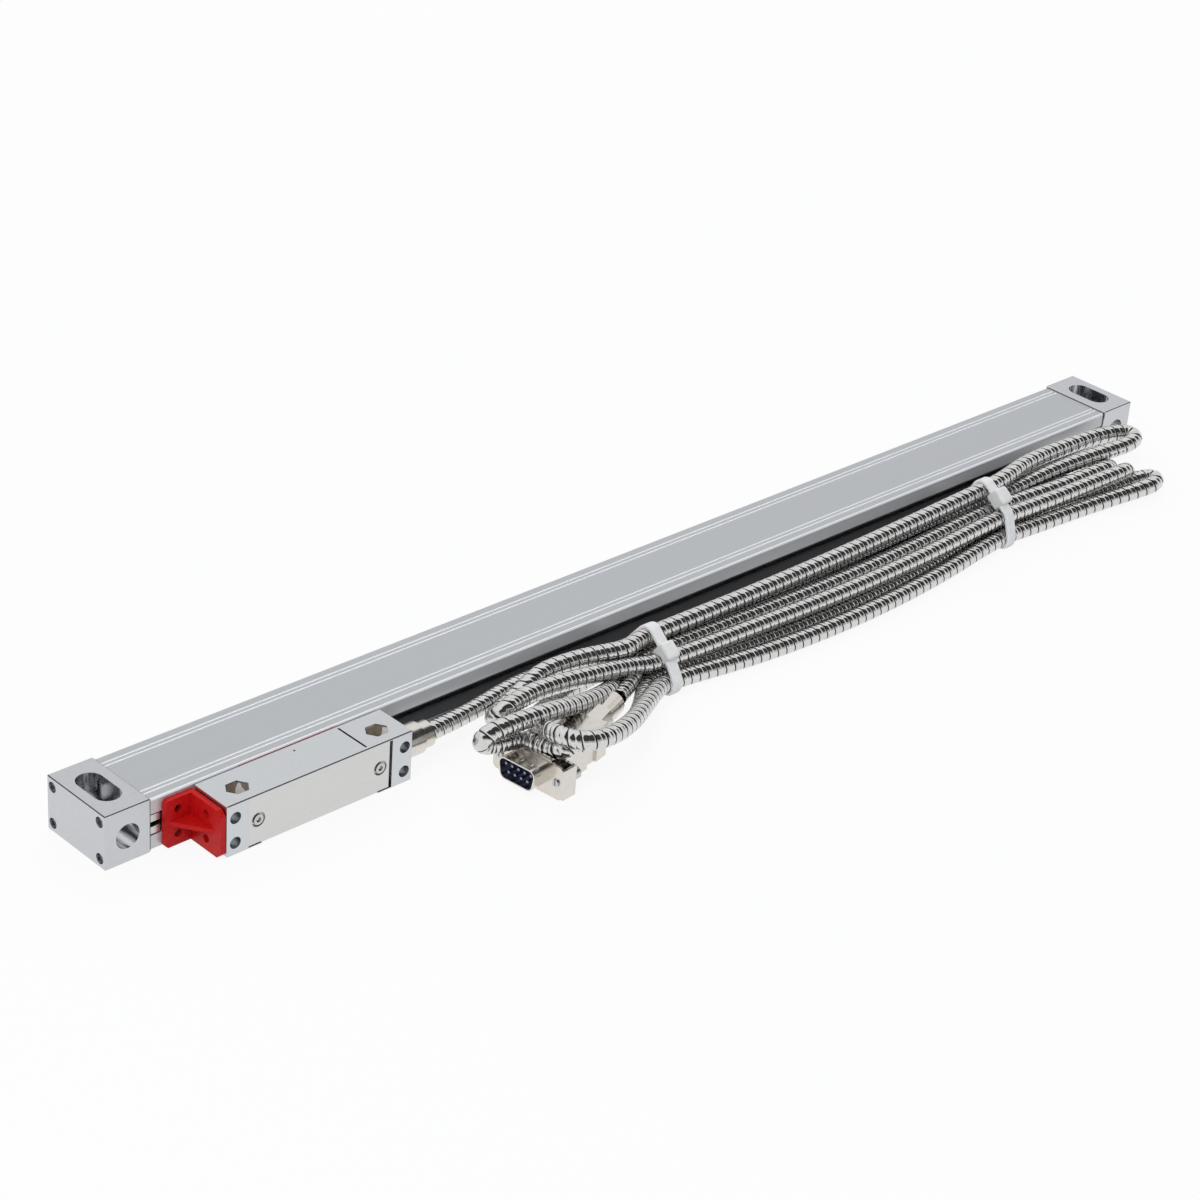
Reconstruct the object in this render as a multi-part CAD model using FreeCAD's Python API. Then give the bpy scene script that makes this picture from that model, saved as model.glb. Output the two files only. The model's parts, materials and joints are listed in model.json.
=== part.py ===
import FreeCAD, Part
import math
import os

# A sealed linear glass scale: an extruded housing with a glass strip inside, a reading head
# that slides along its slot, a red transport bracket, and an armoured hose to a 9-pin plug.
# Lengths are in millimetres. The model is drawn from a station at the near block's outer
# end, at the front of the end blocks and at the floor, and node() moves it to the origin.

# Sealed housing
overall_length = 516.0
block_width = 31.2
block_height = 20.2
block_length = 17.4
side_inset = 0.5
bottom_inset = 0.4
top_inset = 0.6
corner_radius = 0.8
front_wall = 3.5
back_wall = 2.2
top_wall = 2.2
bottom_wall = 2.2
slot_height = 8.1
slot_middle_z = 9.85
gasket_thickness = 0.4
groove_width = 0.7
groove_depth = 0.3
groove_offsets = (3.8, 5.7)

# End blocks
bore_radius = 4.5
bore_middle_z = 9.8
bolt_hole_radius = 2.75
bolt_seat_thickness = 5.8
pocket_width = 9.4
pocket_length = 18.6
pocket_floor_z = 10.1
shank_slot_width = 5.5
shank_slot_length = 14.7
edge_chamfer = 0.25
end_screw_inset_y = 2.9
end_screw_inset_z = 3.3
end_screw_shank_radius = 1.0
end_screw_head_radius = 1.85
end_screw_head_length = 2.0
end_screw_sink = 4.0
end_screw_bite = 7.2
screw_channel_half = 1.9
fit_gap = 0.05

# Lip seals and their end clamps
seal_groove_height = 1.1
seal_groove_width = 1.6
seal_groove_offset = 1.1
lip_gap = 1.6
lip_thickness = 1.1
lip_lean = 1.6
clamp_length = 4.0
clamp_shadow_gap = 0.5
clamp_slot = 1.9
clamp_inset = 0.2
clamp_flange_depth = 1.2
clamp_flange_rise = 0.5

# Glass strip inside
glass_thickness = 2.4
glass_width = 13.7
glass_bottom_z = 11.8
bond_thickness = 0.2
ledge_depth = 4.5
ledge_thickness = 2.0
glass_back_gap = 0.2
bumper_length = 3.0

# Reading head
head_start = 34.2
head_length = 76.4
head_depth = 17.1
head_height = 19.3
head_floor_gap = 0.3
head_body_gap = 1.1
head_chamfer = 0.3
column_width = 8.6
cover_recess = 0.3
cover_thickness = 1.8
cover_gap = 0.25
cover_edge_gap = 1.0
cover_bottom_rim = 0.5
cover_top_rim = 0.6
seal_sheet = 0.4
cover_screw_inset = 3.8
cover_screw_radius = 1.25
cover_screw_head_radius = 1.9
cover_washer_radius = 2.2
cover_washer_thickness = 0.3
cover_screw_head_height = 1.1
cover_bore_radius = 2.7
cover_bore_depth = 1.2
cover_screw_bite = 4.0
hex_socket_radius = 0.9
board_cavity_side = 10.2
board_cavity_back_wall = 3.2
board_cavity_rim = 2.4
board_thickness = 1.2
board_edge_gap = 1.5
board_post_length = 3.0
board_post_radius = 2.2
chip_count = 3
chip_size = 6.0
chip_height = 1.4
front_hole_inset = 3.3
front_hole_radius = 2.15
front_hole_depth = 5.2
drill_point_angle = 118.0
front_hole_rise = 9.4
front_hole_low_z = 4.9
hex_pocket_inset = 9.5
hex_pocket_half_length = 4.4
hex_pocket_flat = 2.2
hex_pocket_half_width = 3.45
hex_pocket_setback = 9.7
hex_pocket_floor_z = 9.0
pocket_hole_radius = 2.25
top_groove_inset = 18.9
top_groove_width = 0.6
top_groove_depth = 0.4
top_groove_end_gap = 1.25
pad_length = 14.0
pad_depth = 0.8
spacer_thickness = 0.7
spacer_inset = 18.1
spacer_window_inset = 1.8

# Coupling arm, spring and carriage
blade_thickness = 1.0
blade_reach = 7.2
blade_inset = 20.0
blade_root_thickness = 2.2
blade_root_height = 4.6
blade_taper = 6.0
spring_thickness = 0.4
spring_height = 4.5
spring_end_gap = 4.0
carriage_length = 60.0
web_front_y = 8.6
glass_edge_clearance = 1.2
lower_arm_bottom = 4.2
lower_arm_top = 7.2
lower_arm_reach = 8.0
upper_arm_bottom = 15.9
upper_arm_top = 16.9
upper_arm_reach = 7.0
pedestal_height = 2.2
pedestal_roller_gap = 0.6
pedestal_rail = 1.6
pedestal_start_gap = 0.4
pedestal_span = 8.8
index_thickness = 1.6
detector_thickness = 0.9
lamp_thickness = 0.9
lamp_length = 22.0
roller_radius = 3.0
roller_width = 2.5
roller_gap = 0.15
roller_axle_radius = 1.0
roller_bore_gap = 0.06
roller_side_gap = 0.4
fork_cheek = 1.3
cheek_half_length = 2.5
face_roller_inset = 6.0
edge_roller_inset = 12.0
face_roller_setback = 3.6

# Red transport bracket
bracket_start = 22.0
bracket_thickness = 2.0
bracket_gap = 0.3
bracket_bevel = 2.0
bracket_rib = 1.6
bracket_rib_z = 8.3
bracket_hole_radius = 1.5
bracket_top_drop = 1.6
bracket_hole_z = (4.6, 13.8)

# Armoured hose, gland and ties
hose_diameter = 6.8
gland_radius = 5.75
gland_length = 8.0
sleeve_radius = 4.8
sleeve_length = 4.6
gland_setback = 9.6
gland_z = 10.2
gland_spigot_radius = 2.8
gland_spigot_length = 3.4
tie_width = 4.6
tie_thickness = 1.3
tie_left_x = 216.0
tie_right_x = 400.0
tie_head_length = 6.5
tie_head_height = 4.6

# Nine-pin plug
plug_x = 133.7
plug_y = -43.9
plug_turn = 6.0
plug_middle_z = 6.75
flange_height = 12.5
flange_length = 30.8
flange_thickness = 0.9
shell_long_side = 16.9
shell_height = 8.36
shell_lean = 10.0
shell_projection = 5.8
shell_wall = 0.5
shell_corner_radius = 2.6
shell_dimple_radius = 1.1
shell_dimple_depth = 0.3
shell_dimple_offsets = (-4.2, 0.0, 4.2)
insulator_recess = 4.6
pin_pitch = 2.77
pin_row_gap = 2.84
pin_radius = 0.5
pin_start = 1.0
jackscrew_spacing = 24.99
jackscrew_radius = 1.4
jackscrew_head_radius = 2.4
jackscrew_tip = 0.6
jackscrew_head_length = 3.0
hood_wall_length = 6.2
hood_top_z = 13.4
hood_bottom_z = 0.4
hood_deck_z = 9.4
hood_deck_length = 6.0
hood_join_z = 6.75
hood_body_half_width = 9.3
hood_front_wall = 1.6
hood_ear_top_z = 11.8
hood_ear_wall = 1.0
hood_notch_start = 27.6
hood_notch_length = 5.6
hood_notch_face = 6.1
hose_exit_turn = 16.0
nut_across_flats = 11.4
nut_length = 10.5
ferrule_radius = 4.65
ferrule_length = 12.0

# Places that follow from the sizes above
body_front = side_inset
body_back = block_width - side_inset
body_bottom = bottom_inset
body_top = block_height - top_inset
inner_front = body_front + front_wall
inner_back = body_back - back_wall
inner_bottom = body_bottom + bottom_wall
inner_top = body_top - top_wall
body_start = block_length + gasket_thickness
body_end = overall_length - body_start
slot_bottom = slot_middle_z - slot_height / 2
slot_top = slot_middle_z + slot_height / 2
glass_top_z = glass_bottom_z + glass_thickness
glass_back = inner_back - glass_back_gap
glass_front = glass_back - glass_width
head_back = body_front - head_body_gap
head_front = head_back - head_depth
head_end = head_start + head_length
head_middle = head_start + head_length / 2
head_top = head_floor_gap + head_height
origin_x = overall_length / 2
origin_y = (head_front + block_width) / 2


# Basic forms
def box(x0, x1, y0, y1, z0, z1):
    return Part.makeBox(x1 - x0, y1 - y0, z1 - z0, FreeCAD.Vector(x0, y0, z0))


def rod(radius, length, base, direction):
    return Part.makeCylinder(radius, length, FreeCAD.Vector(*base), FreeCAD.Vector(*direction))


def drilled_hole(radius, depth, base, direction):
    # A blind hole with the cone that its drill leaves
    along = FreeCAD.Vector(*direction)
    foot = FreeCAD.Vector(*base) + along * depth
    point = Part.makeCone(radius, 0, radius / math.tan(math.radians(drill_point_angle / 2)), foot, along)
    return rod(radius, depth, base, direction).fuse(point)


def face_of(points):
    corners = [FreeCAD.Vector(*point) for point in points]
    return Part.Face(Part.makePolygon(corners + [corners[0]]))


def plan_prism(outline, z0, z1):
    base = face_of([(x, y, z0) for x, y in outline])
    return base.extrude(FreeCAD.Vector(0, 0, z1 - z0))


def section_prism(outline, x0, x1):
    base = face_of([(x0, y, z) for y, z in outline])
    return base.extrude(FreeCAD.Vector(x1 - x0, 0, 0))


def stadium(middle_x, middle_y, width, length, z0, z1):
    straight = (length - width) / 2
    solid = box(middle_x - width / 2, middle_x + width / 2,
                middle_y - straight, middle_y + straight, z0, z1)
    for side in (-1, 1):
        solid = solid.fuse(rod(width / 2, z1 - z0, (middle_x, middle_y + side * straight, z0), (0, 0, 1)))
    return solid.removeSplitter()


def hex_prism(across_flats, length, base, direction):
    radius = across_flats / math.sqrt(3)
    corners = []
    for i in range(6):
        angle = math.radians(60 * i)
        corners.append((radius * math.cos(angle), radius * math.sin(angle), 0))
    solid = face_of(corners).extrude(FreeCAD.Vector(0, 0, length))
    turn = FreeCAD.Rotation(FreeCAD.Vector(0, 0, 1), FreeCAD.Vector(*direction))
    solid.Placement = FreeCAD.Placement(FreeCAD.Vector(*base), turn)
    return solid


def far_side(solid):
    return solid.mirror(FreeCAD.Vector(overall_length / 2, 0, 0), FreeCAD.Vector(1, 0, 0))


def chamfer_edges(solid, size, wanted):
    edges = [edge for edge in solid.Edges if wanted(edge)]
    return solid.makeChamfer(size, edges)


def runs_along(edge, axis):
    start = edge.Vertexes[0].Point
    end = edge.Vertexes[-1].Point
    along = (end - start)
    return along.Length > 0 and abs(along.normalize().dot(FreeCAD.Vector(*axis))) > 0.999


def node(name, *solids):
    shape = solids[0] if len(solids) == 1 else Part.makeCompound(list(solids))
    shape = shape.copy()
    shape.translate(FreeCAD.Vector(-origin_x, -origin_y, 0))
    shape.exportStep(os.path.join("parts", name + ".step"))


# Housing
def extrusion():
    outer = box(body_start, body_end, body_front, body_back, body_bottom, body_top)
    outer = outer.makeFillet(corner_radius, [e for e in outer.Edges if runs_along(e, (1, 0, 0))])
    cavity = box(body_start, body_end, inner_front, inner_back, inner_bottom, inner_top)
    for boss in screw_bosses(body_start, body_end):
        cavity = cavity.cut(boss)
    ledge_top = glass_bottom_z - bond_thickness
    ledge = box(body_start, body_end, inner_back - ledge_depth, inner_back,
                ledge_top - ledge_thickness, ledge_top)
    solid = outer.cut(cavity.cut(ledge))
    solid = solid.cut(box(body_start, body_end, body_front, inner_front, slot_bottom, slot_top))
    root_front = body_front + seal_groove_offset
    for z0 in (slot_top, slot_bottom - seal_groove_height):
        solid = solid.cut(box(body_start, body_end, root_front, root_front + seal_groove_width,
                              z0, z0 + seal_groove_height))
    for middle_y, middle_z in end_screw_places():
        solid = solid.cut(rod(end_screw_shank_radius + fit_gap, body_end - body_start,
                              (body_start, middle_y, middle_z), (1, 0, 0)))
    for offset in groove_offsets:
        for middle_y in (body_front + offset, body_back - offset):
            solid = solid.cut(section_prism([(middle_y - groove_width / 2, body_top),
                                             (middle_y, body_top - groove_depth),
                                             (middle_y + groove_width / 2, body_top)],
                                            body_start, body_end))
    return solid


def end_screw_places():
    places = []
    for middle_y in (end_screw_inset_y, block_width - end_screw_inset_y):
        for middle_z in (end_screw_inset_z, block_height - end_screw_inset_z):
            places.append((middle_y, middle_z))
    return places


def screw_bosses(x0, x1):
    reach = screw_channel_half
    return [box(x0, x1, middle_y - reach, middle_y + reach, middle_z - reach, middle_z + reach)
            for middle_y, middle_z in end_screw_places()]


def end_block():
    solid = box(0, block_length, 0, block_width, 0, block_height)
    solid = solid.makeChamfer(edge_chamfer, solid.Edges)
    middle_x = block_length / 2
    middle_y = block_width / 2
    solid = solid.cut(stadium(middle_x, middle_y, pocket_width, pocket_length, pocket_floor_z, block_height))
    solid = solid.cut(stadium(middle_x, middle_y, shank_slot_width, shank_slot_length, 0, pocket_floor_z))
    solid = solid.cut(rod(bore_radius, block_width - bolt_seat_thickness,
                          (middle_x, 0, bore_middle_z), (0, 1, 0)))
    solid = solid.cut(rod(bolt_hole_radius, block_width, (middle_x, 0, bore_middle_z), (0, 1, 0)))
    for hole_y, hole_z in end_screw_places():
        sink = rod(end_screw_head_radius + fit_gap, end_screw_sink, (0, hole_y, hole_z), (1, 0, 0))
        hole = rod(end_screw_shank_radius + fit_gap, block_length, (0, hole_y, hole_z), (1, 0, 0))
        solid = solid.cut(sink).cut(hole)
    return solid


def end_gasket():
    solid = box(block_length, body_start, body_front, body_back, body_bottom, body_top)
    opening = box(block_length, body_start, inner_front, inner_back, inner_bottom, inner_top)
    for boss in screw_bosses(block_length, body_start):
        opening = opening.cut(boss)
    for middle_y, middle_z in end_screw_places():
        solid = solid.cut(rod(end_screw_shank_radius + fit_gap, gasket_thickness,
                              (block_length, middle_y, middle_z), (1, 0, 0)))
    return solid.cut(opening)


def end_screws():
    screws = []
    for middle_y, middle_z in end_screw_places():
        head_start_x = end_screw_sink - end_screw_head_length
        head = rod(end_screw_head_radius, end_screw_head_length,
                   (head_start_x, middle_y, middle_z), (1, 0, 0))
        socket = hex_prism(end_screw_head_radius, end_screw_head_length / 2,
                           (head_start_x, middle_y, middle_z), (1, 0, 0))
        shank_length = body_start + end_screw_bite - end_screw_sink - fit_gap
        shank = rod(end_screw_shank_radius, shank_length, (end_screw_sink, middle_y, middle_z), (1, 0, 0))
        screws.append(head.cut(socket).fuse(shank))
    return screws


def lip_seal(side):
    # side is 1 for the lip that hangs from the slot's upper edge and -1 for the one below
    root_front = body_front + seal_groove_offset
    edge = slot_middle_z + side * slot_height / 2
    tip = slot_middle_z + side * lip_gap / 2
    root = edge + side * seal_groove_height
    outline = [(root_front, root), (root_front + seal_groove_width, root),
               (root_front + seal_groove_width, edge),
               (root_front + lip_thickness + lip_lean, tip + side * lip_thickness / 2),
               (root_front + lip_thickness / 2 + lip_lean, tip),
               (root_front + lip_lean, tip + side * lip_thickness / 2),
               (root_front, edge)]
    start = body_start + clamp_length
    return section_prism(outline, start, overall_length - start)


def seal_clamp(side):
    front = body_front + clamp_inset
    near = slot_middle_z + side * clamp_slot / 2
    far = slot_middle_z + side * (slot_height / 2 - clamp_shadow_gap)
    rise = slot_middle_z + side * (slot_height / 2 + clamp_flange_rise)
    outline = [(front, near), (inner_front + clamp_flange_depth, near),
               (inner_front + clamp_flange_depth, rise), (inner_front, rise),
               (inner_front, far), (front, far)]
    return section_prism(outline, body_start, body_start + clamp_length)


def glass_scale():
    return box(body_start, body_end, glass_front, glass_back, glass_bottom_z, glass_top_z)


def glass_bonding():
    return box(body_start, body_end, inner_back - ledge_depth, glass_back,
               glass_bottom_z - bond_thickness, glass_bottom_z)


def travel_bumper():
    return box(body_start, body_start + bumper_length, web_front_y, glass_front - glass_edge_clearance,
               inner_bottom, upper_arm_bottom)


def make_housing():
    node("extrusion", extrusion())
    node("glass_scale", glass_scale())
    node("glass_bonding", glass_bonding())
    node("lip_seal_upper", lip_seal(1))
    node("lip_seal_lower", lip_seal(-1))
    clamps = [seal_clamp(1), seal_clamp(-1)]
    node("end_block_near", end_block())
    node("end_block_far", far_side(end_block()))
    node("end_gasket_near", end_gasket())
    node("end_gasket_far", far_side(end_gasket()))
    node("end_screws_near", *end_screws())
    node("end_screws_far", *[far_side(screw) for screw in end_screws()])
    node("seal_clamps_near", *clamps)
    node("seal_clamps_far", *[far_side(clamp) for clamp in clamps])
    node("travel_bumper_near", travel_bumper())
    node("travel_bumper_far", far_side(travel_bumper()))


# Reading head
cover_start = head_start + column_width + cover_gap
cover_end = head_end - column_width - cover_edge_gap
cover_front = head_front + cover_recess
cover_back = cover_front + cover_thickness
cover_seat = cover_front + cover_bore_depth
recess_back = cover_back + seal_sheet
cover_bottom = head_floor_gap + cover_bottom_rim
cover_top = head_top - cover_top_rim
cavity_start = head_start + column_width + board_cavity_side
cavity_end = head_end - column_width - board_cavity_side
cavity_back = head_back - board_cavity_back_wall
cavity_bottom = head_floor_gap + board_cavity_rim
cavity_top = head_top - board_cavity_rim
board_front = cavity_back - board_post_length - board_thickness
board_back = cavity_back - board_post_length
gland_y = head_back - gland_setback
blade_start = head_start + blade_inset
blade_end = head_end - blade_inset
blade_root_back = head_back
blade_root_front = head_back - blade_root_thickness
blade_tip = head_back + blade_reach
web_back = glass_front - glass_edge_clearance


def cover_screw_places():
    return [(cover_start + cover_screw_inset, slot_middle_z), (cover_end - cover_screw_inset, slot_middle_z)]


def hex_pocket(middle_x):
    middle_y = head_back - hex_pocket_setback
    outline = [(middle_x - hex_pocket_half_length, middle_y),
               (middle_x - hex_pocket_flat, middle_y - hex_pocket_half_width),
               (middle_x + hex_pocket_flat, middle_y - hex_pocket_half_width),
               (middle_x + hex_pocket_half_length, middle_y),
               (middle_x + hex_pocket_flat, middle_y + hex_pocket_half_width),
               (middle_x - hex_pocket_flat, middle_y + hex_pocket_half_width)]
    pocket = plan_prism(outline, hex_pocket_floor_z, head_top)
    hole_height = hex_pocket_floor_z - head_floor_gap
    hole = rod(pocket_hole_radius, hole_height, (middle_x, middle_y, head_floor_gap), (0, 0, 1))
    return pocket.fuse(hole)


def head_body():
    solid = box(head_start, head_end, head_front, head_back, head_floor_gap, head_top)
    solid = solid.makeChamfer(head_chamfer, solid.Edges)
    solid = solid.cut(box(head_start + column_width, head_end - column_width, head_front, recess_back,
                          cover_bottom, cover_top))
    cavity = box(cavity_start, cavity_end, recess_back, cavity_back, cavity_bottom, cavity_top)
    for post_x in board_post_places():
        post = rod(board_post_radius, board_post_length, (post_x, cavity_back, slot_middle_z), (0, -1, 0))
        cavity = cavity.cut(post)
    solid = solid.cut(cavity)
    for screw_x, screw_z in cover_screw_places():
        solid = solid.cut(rod(cover_screw_radius + fit_gap, cover_screw_bite,
                              (screw_x, recess_back, screw_z), (0, 1, 0)))
    for hole_x in (head_start + front_hole_inset, head_end - front_hole_inset):
        for hole_z in (front_hole_low_z, front_hole_low_z + front_hole_rise):
            solid = solid.cut(drilled_hole(front_hole_radius, front_hole_depth,
                                           (hole_x, head_front, hole_z), (0, 1, 0)))
    for middle_x in (head_start + hex_pocket_inset, head_end - hex_pocket_inset):
        solid = solid.cut(hex_pocket(middle_x))
    groove_x = head_end - top_groove_inset
    solid = solid.cut(box(groove_x - top_groove_width / 2, groove_x + top_groove_width / 2,
                          head_front + top_groove_end_gap, head_back - top_groove_end_gap,
                          head_top - top_groove_depth, head_top))
    solid = solid.cut(box(head_start + pad_length, head_end - pad_length, head_front, head_front + pad_depth,
                          head_floor_gap, cover_bottom))
    solid = solid.cut(box(blade_start - fit_gap, blade_end + fit_gap, blade_root_front, head_back,
                          slot_middle_z - blade_root_height / 2 - fit_gap,
                          slot_middle_z + blade_root_height / 2 + fit_gap))
    spigot = rod(gland_spigot_radius + fit_gap, gland_spigot_length + fit_gap,
                 (head_end, gland_y, gland_z), (-1, 0, 0))
    return solid.cut(spigot)


def board_post_places():
    middle = (cavity_start + cavity_end) / 2
    reach = (cavity_end - cavity_start) / 3
    return (middle - reach, middle + reach)


def head_cover():
    solid = box(cover_start, cover_end, cover_front, cover_back,
                cover_bottom + cover_gap, cover_top - cover_gap)
    for screw_x, screw_z in cover_screw_places():
        solid = solid.cut(rod(cover_screw_radius + fit_gap, cover_thickness,
                              (screw_x, cover_front, screw_z), (0, 1, 0)))
        solid = solid.cut(rod(cover_bore_radius, cover_bore_depth,
                              (screw_x, cover_front, screw_z), (0, 1, 0)))
    return solid


def cover_gasket():
    solid = box(cover_start, cover_end, cover_back, recess_back,
                cover_bottom + cover_gap, cover_top - cover_gap)
    solid = solid.cut(box(cavity_start, cavity_end, cover_back, recess_back, cavity_bottom, cavity_top))
    for screw_x, screw_z in cover_screw_places():
        solid = solid.cut(rod(cover_screw_radius + fit_gap, seal_sheet,
                              (screw_x, cover_back, screw_z), (0, 1, 0)))
    return solid


def cover_screws():
    screws = []
    head_face = cover_seat - cover_washer_thickness
    shank_length = recess_back - head_face + cover_screw_bite - fit_gap
    for screw_x, screw_z in cover_screw_places():
        head = rod(cover_screw_head_radius, cover_screw_head_height,
                   (screw_x, head_face, screw_z), (0, -1, 0))
        socket = hex_prism(2 * hex_socket_radius, cover_screw_head_height / 2,
                           (screw_x, head_face - cover_screw_head_height, screw_z), (0, 1, 0))
        shank = rod(cover_screw_radius, shank_length, (screw_x, head_face, screw_z), (0, 1, 0))
        screws.append(head.cut(socket).fuse(shank))
    return screws


def cover_washers():
    washers = []
    for screw_x, screw_z in cover_screw_places():
        ring = rod(cover_washer_radius, cover_washer_thickness, (screw_x, cover_seat, screw_z), (0, -1, 0))
        bore = rod(cover_screw_radius + fit_gap, cover_washer_thickness,
                   (screw_x, cover_seat, screw_z), (0, -1, 0))
        washers.append(ring.cut(bore))
    return washers


def amplifier_board():
    solid = box(cavity_start + board_edge_gap, cavity_end - board_edge_gap, board_front, board_back,
                cavity_bottom + board_edge_gap, cavity_top - board_edge_gap)
    chip_pitch = (cavity_end - cavity_start) / (chip_count + 1)
    half = chip_size / 2
    for i in range(chip_count):
        chip_x = cavity_start + chip_pitch * (i + 1)
        solid = solid.fuse(box(chip_x - half, chip_x + half, board_front - chip_height, board_front,
                               slot_middle_z - half, slot_middle_z + half))
    return solid


def gap_spacer():
    outer = box(head_start + spacer_inset, head_end - spacer_inset, head_back, head_back + spacer_thickness,
                head_floor_gap + head_chamfer, head_top - head_chamfer)
    window = box(blade_start - spacer_window_inset, blade_end + spacer_window_inset,
                 head_back, head_back + spacer_thickness,
                 slot_middle_z - blade_root_height / 2 - fit_gap,
                 slot_middle_z + blade_root_height / 2 + fit_gap)
    return outer.cut(window)


def coupling_arm():
    root = box(blade_start, blade_end, blade_root_front, blade_root_back,
               slot_middle_z - blade_root_height / 2, slot_middle_z + blade_root_height / 2)
    outline = [(blade_start, head_back), (blade_end, head_back), (blade_end - blade_taper, blade_tip),
               (blade_start + blade_taper, blade_tip)]
    blade = plan_prism(outline, slot_middle_z - blade_thickness / 2, slot_middle_z + blade_thickness / 2)
    return root.fuse(blade)


def coupling_spring():
    # A leaf between the blade's inner edge and the carriage web, with a foot bent over at each end
    z0 = slot_middle_z - spring_height / 2
    z1 = slot_middle_z + spring_height / 2
    start = blade_start + blade_taper + spring_end_gap
    end = blade_end - blade_taper - spring_end_gap
    foot = spring_end_gap
    leaf = box(start, end, blade_tip, blade_tip + spring_thickness, z0, z1)
    for x0, x1 in ((start, start + foot), (end - foot, end)):
        leaf = leaf.fuse(box(x0, x1, blade_tip, web_front_y, z0, z1))
    return leaf.removeSplitter()


def make_reading_head():
    node("head_body", head_body())
    node("head_cover", head_cover())
    node("head_cover_gasket", cover_gasket())
    node("head_cover_screws", *cover_screws())
    node("head_cover_washers", *cover_washers())
    node("amplifier_board", amplifier_board())
    node("gap_spacer", gap_spacer())
    node("coupling_arm", coupling_arm())
    node("coupling_spring", coupling_spring())


# Scanning carriage inside the housing
carriage_start = head_middle - carriage_length / 2
carriage_end = head_middle + carriage_length / 2
face_roller_places = (carriage_start + face_roller_inset, carriage_end - face_roller_inset)
edge_roller_places = (carriage_start + edge_roller_inset, carriage_end - edge_roller_inset)
face_roller_y = glass_front + face_roller_setback
face_roller_z = glass_bottom_z - roller_gap - roller_radius
edge_roller_y = glass_front - roller_gap - roller_radius
edge_roller_z = glass_bottom_z + glass_thickness / 2
cheek_gap = roller_width / 2 + roller_side_gap
pedestal_front = web_back + pedestal_start_gap
pedestal_start = edge_roller_places[0] + roller_radius + roller_side_gap + pedestal_roller_gap
pedestal_end = edge_roller_places[1] - roller_radius - roller_side_gap - pedestal_roller_gap


def carriage_frame():
    web = box(carriage_start, carriage_end, web_front_y, web_back, lower_arm_bottom, upper_arm_top)
    lower = box(carriage_start, carriage_end, web_back, glass_front + lower_arm_reach,
                lower_arm_bottom, lower_arm_top)
    upper = box(carriage_start, carriage_end, web_back, glass_front + upper_arm_reach,
                upper_arm_bottom, upper_arm_top)
    solid = web.fuse(lower).fuse(upper)
    for rail_y in (pedestal_front, pedestal_front + pedestal_span - pedestal_rail):
        solid = solid.fuse(box(pedestal_start, pedestal_end, rail_y, rail_y + pedestal_rail,
                               lower_arm_top, lower_arm_top + pedestal_height))
    pocket_half = roller_radius + roller_side_gap
    for middle_x in face_roller_places:
        for side in (-1, 1):
            y0 = face_roller_y + side * cheek_gap
            y1 = face_roller_y + side * (cheek_gap + fork_cheek)
            solid = solid.fuse(box(middle_x - cheek_half_length, middle_x + cheek_half_length,
                                   min(y0, y1), max(y0, y1),
                                   lower_arm_top, face_roller_z + 2 * roller_axle_radius))
        solid = solid.cut(box(middle_x - pocket_half, middle_x + pocket_half,
                              face_roller_y - cheek_gap, face_roller_y + cheek_gap,
                              face_roller_z - pocket_half, glass_bottom_z))
        solid = solid.cut(rod(roller_axle_radius, 2 * (cheek_gap + fork_cheek),
                              (middle_x, face_roller_y - cheek_gap - fork_cheek, face_roller_z), (0, 1, 0)))
    for middle_x in edge_roller_places:
        solid = solid.cut(box(middle_x - pocket_half, middle_x + pocket_half,
                              edge_roller_y - pocket_half, web_back,
                              edge_roller_z - cheek_gap, edge_roller_z + cheek_gap))
        solid = solid.cut(rod(roller_axle_radius, edge_axle_length(),
                              (middle_x, edge_roller_y, edge_axle_bottom()), (0, 0, 1)))
    return solid.removeSplitter()


def edge_axle_bottom():
    return edge_roller_z - cheek_gap - 2 * roller_axle_radius


def edge_axle_length():
    return upper_arm_top - edge_axle_bottom()


def roller_axles():
    axles = []
    for middle_x in face_roller_places:
        axles.append(rod(roller_axle_radius, 2 * (cheek_gap + fork_cheek),
                         (middle_x, face_roller_y - cheek_gap - fork_cheek, face_roller_z), (0, 1, 0)))
    for middle_x in edge_roller_places:
        axles.append(rod(roller_axle_radius, edge_axle_length(),
                         (middle_x, edge_roller_y, edge_axle_bottom()), (0, 0, 1)))
    return axles


def guide_roller(base, direction):
    outer = rod(roller_radius, roller_width, base, direction)
    return outer.cut(rod(roller_axle_radius + roller_bore_gap, roller_width, base, direction))


def index_grating():
    z0 = lower_arm_top + pedestal_height
    return box(pedestal_start, pedestal_end, pedestal_front, pedestal_front + pedestal_span,
               z0, z0 + index_thickness)


def detector_board():
    return box(pedestal_start, pedestal_end, pedestal_front + pedestal_rail,
               pedestal_front + pedestal_span - pedestal_rail,
               lower_arm_top, lower_arm_top + detector_thickness)


def lamp_board():
    return box(head_middle - lamp_length / 2, head_middle + lamp_length / 2, web_back,
               glass_front + upper_arm_reach, upper_arm_bottom - lamp_thickness, upper_arm_bottom)


def make_carriage():
    node("carriage_frame", carriage_frame())
    node("roller_axles", *roller_axles())
    node("index_grating", index_grating())
    node("detector_board", detector_board())
    node("lamp_board", lamp_board())
    for number, middle_x in enumerate(face_roller_places, 1):
        base = (middle_x, face_roller_y - roller_width / 2, face_roller_z)
        node("face_roller_%d" % number, guide_roller(base, (0, 1, 0)))
    for number, middle_x in enumerate(edge_roller_places, 1):
        base = (middle_x, edge_roller_y, edge_roller_z - roller_width / 2)
        node("edge_roller_%d" % number, guide_roller(base, (0, 0, 1)))


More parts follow.
